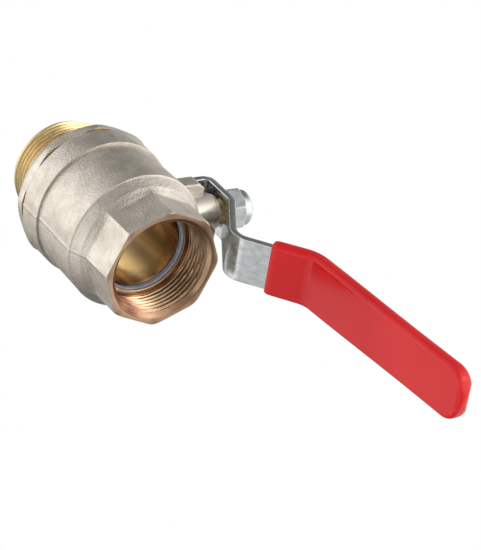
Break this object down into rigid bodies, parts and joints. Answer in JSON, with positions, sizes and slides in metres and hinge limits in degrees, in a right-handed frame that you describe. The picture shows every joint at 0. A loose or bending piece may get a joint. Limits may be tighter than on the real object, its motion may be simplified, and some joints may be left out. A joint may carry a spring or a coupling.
{
  "type": "ball valve",
  "caption": "Lever-operated full-bore ball valve with a female threaded port, a male threaded end and a red-sleeved strip handle.",
  "frame": {"origin": "centre of the ball, where the stem axis crosses the pipe axis", "axes": "+X along the pipe axis towards the female end, +Z along the stem towards the lever"},
  "size_m": [0.2324, 0.0688, 0.1106],
  "materials": {
    "body": "satin nickel plate over forged brass",
    "end_cap": "satin nickel plate, bare brass thread",
    "seat_ring_front": "PTFE",
    "seat_ring_back": "PTFE",
    "body_joint_seal": "matte",
    "thrust_washer": "PTFE",
    "packing_ring_lower": "PTFE",
    "packing_ring_upper": "PTFE",
    "gland_nut": "machined",
    "ball": "hard chrome plate over brass, brushed bore",
    "stem": "machined",
    "stem_seal": "matte",
    "lever_plate": "bright zinc plate",
    "lever_sleeve": "glossy dipped vinyl",
    "lever_nut": "bright zinc plate",
    "nut_insert": "nylon"
  },
  "bodies": {
    "valve_body": {"body": "body", "end_cap": "end_cap", "seat_ring_front": "seat_ring_front", "seat_ring_back": "seat_ring_back", "body_joint_seal": "body_joint_seal", "thrust_washer": "thrust_washer", "packing_ring_lower": "packing_ring_lower", "packing_ring_upper": "packing_ring_upper", "gland_nut": "gland_nut"},
    "lever": {"stem": "stem", "stem_seal": "stem_seal", "lever_plate": "lever_plate", "lever_sleeve": "lever_sleeve", "lever_nut": "lever_nut", "nut_insert": "nut_insert"},
    "ball": {"ball": "ball"}
  },
  "joints": [
    {"name": "lever_turn", "type": "hinge", "parent": "valve_body", "child": "lever", "pos_m": [0, 0, 0.05], "axis": [0, 0, 1], "range_deg": [-90, 0]},
    {"name": "ball_turn", "type": "hinge", "parent": "valve_body", "child": "ball", "pos_m": [0, 0, 0], "axis": [0, 0, 1], "range_deg": [-90, 0]}
  ],
  "couplings": [
    {"joint": "ball_turn", "follows": "lever_turn", "ratio": 1}
  ]
}
